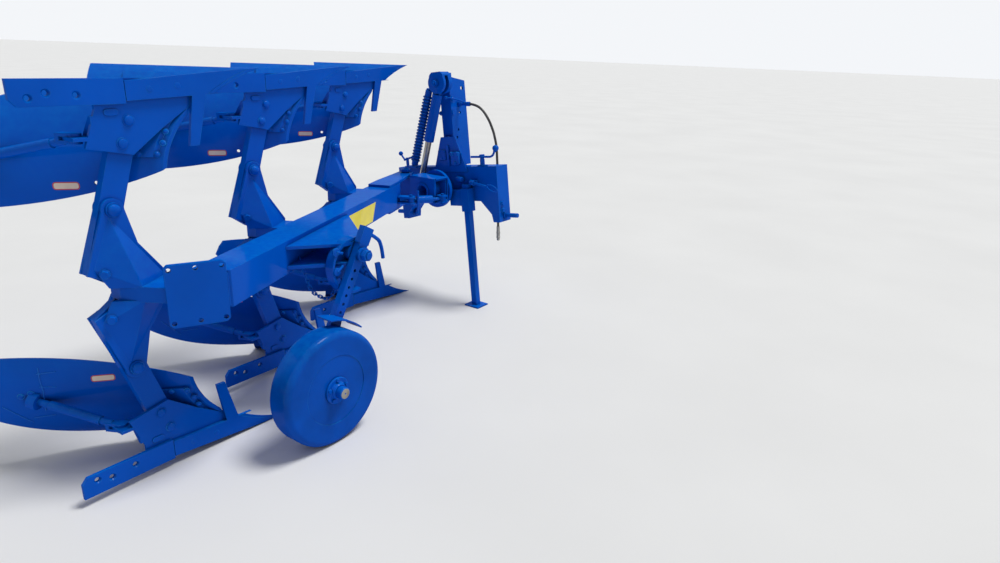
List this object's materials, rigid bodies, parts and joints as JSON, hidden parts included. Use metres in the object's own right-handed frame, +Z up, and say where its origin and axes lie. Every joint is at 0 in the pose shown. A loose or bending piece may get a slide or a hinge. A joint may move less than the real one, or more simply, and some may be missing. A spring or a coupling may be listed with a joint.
{
  "type": "mounted reversible plough",
  "caption": "Mounted reversible plough with mirrored pairs of bodies on a slanted beam, a turnover headstock, a depth wheel and a parking stand.",
  "frame": {"origin": "on the ground, under the middle of the plough's bounding box", "axes": "+X is the direction of travel, towards the tractor; +Y is to the left; +Z is up, as the plough stands parked"},
  "size_m": [2.9958, 1.6831, 1.5],
  "materials": {
    "blue_paint": "gloss",
    "hose_rubber": "satin",
    "coupler_steel": "dull",
    "rod_steel": "satin"
  },
  "bodies": {
    "frame": {"main_beam": "blue_paint", "rear_flange": "blue_paint", "hinge_head": "blue_paint", "hinge_pin": "blue_paint", "swing_head": "blue_paint", "turnover_shaft": "blue_paint", "width_spindle": "blue_paint", "wheel_console": "blue_paint", "console_rear": "blue_paint", "console_mid": "blue_paint", "console_front": "blue_paint", "legs_rear": "blue_paint", "legs_mid": "blue_paint", "legs_front": "blue_paint", "frog_rear_lower": "blue_paint", "frog_rear_upper": "blue_paint", "frog_mid_lower": "blue_paint", "frog_mid_upper": "blue_paint", "frog_front_lower": "blue_paint", "frog_front_upper": "blue_paint", "moldboard_rear_lower": "blue_paint", "moldboard_rear_upper": "blue_paint", "moldboard_mid_lower": "blue_paint", "moldboard_mid_upper": "blue_paint", "moldboard_front_lower": "blue_paint", "moldboard_front_upper": "blue_paint", "share_rear_lower": "blue_paint", "share_rear_upper": "blue_paint", "share_mid_lower": "blue_paint", "share_mid_upper": "blue_paint", "share_front_lower": "blue_paint", "share_front_upper": "blue_paint", "stays_rear": "blue_paint", "stays_mid": "blue_paint", "stays_front": "blue_paint"},
    "headstock": {"cross_box": "blue_paint", "link_pins": "blue_paint", "tower": "blue_paint", "bearing_bracket": "blue_paint", "latch_spring": "blue_paint", "latch_lever": "blue_paint", "stand_clamp": "blue_paint", "hose_fitting": "blue_paint", "hose": "hose_rubber", "hose_coupler": "coupler_steel"},
    "cylinder_barrel": {"cylinder_barrel": "blue_paint"},
    "cylinder_rod": {"cylinder_rod": "rod_steel"},
    "parking_stand": {"parking_stand": "blue_paint"},
    "wheel_arm": {"wheel_arm": "blue_paint"},
    "depth_wheel": {"depth_wheel": "blue_paint"}
  },
  "joints": [
    {"name": "turnover", "type": "hinge", "parent": "frame", "child": "headstock", "pos_m": [1.358, 0.042, 0.75], "axis": [1, 0, 0], "range_deg": [-172.5, 7.5]},
    {"name": "cylinder_swing", "type": "hinge", "parent": "headstock", "child": "cylinder_barrel", "pos_m": [1.252, 0.07033, 1.40188], "axis": [1, 0, 0], "range_deg": [-16.04, 0]},
    {"name": "cylinder_stroke", "type": "slide", "parent": "cylinder_barrel", "child": "cylinder_rod", "axis": [0, 0.2309, -0.973], "range_m": [-0.2005, 0]},
    {"name": "stand_slide", "type": "slide", "parent": "headstock", "child": "parking_stand", "axis": [0, 0.1305, 0.9914], "range_m": [0, 0.3]},
    {"name": "wheel_arm_pivot", "type": "hinge", "parent": "frame", "child": "wheel_arm", "pos_m": [-0.154, -0.638, 0.75], "axis": [0, 1, 0], "range_deg": [0, 122.6]},
    {"name": "wheel_spin", "type": "hinge", "parent": "wheel_arm", "child": "depth_wheel", "pos_m": [-0.428, -0.738, 0.25], "axis": [0, 1, 0], "continuous": true}
  ],
  "couplings": [
    {"joint": "cylinder_swing", "follows": "cylinder_stroke", "rad_per_m": 1.3786}
  ]
}
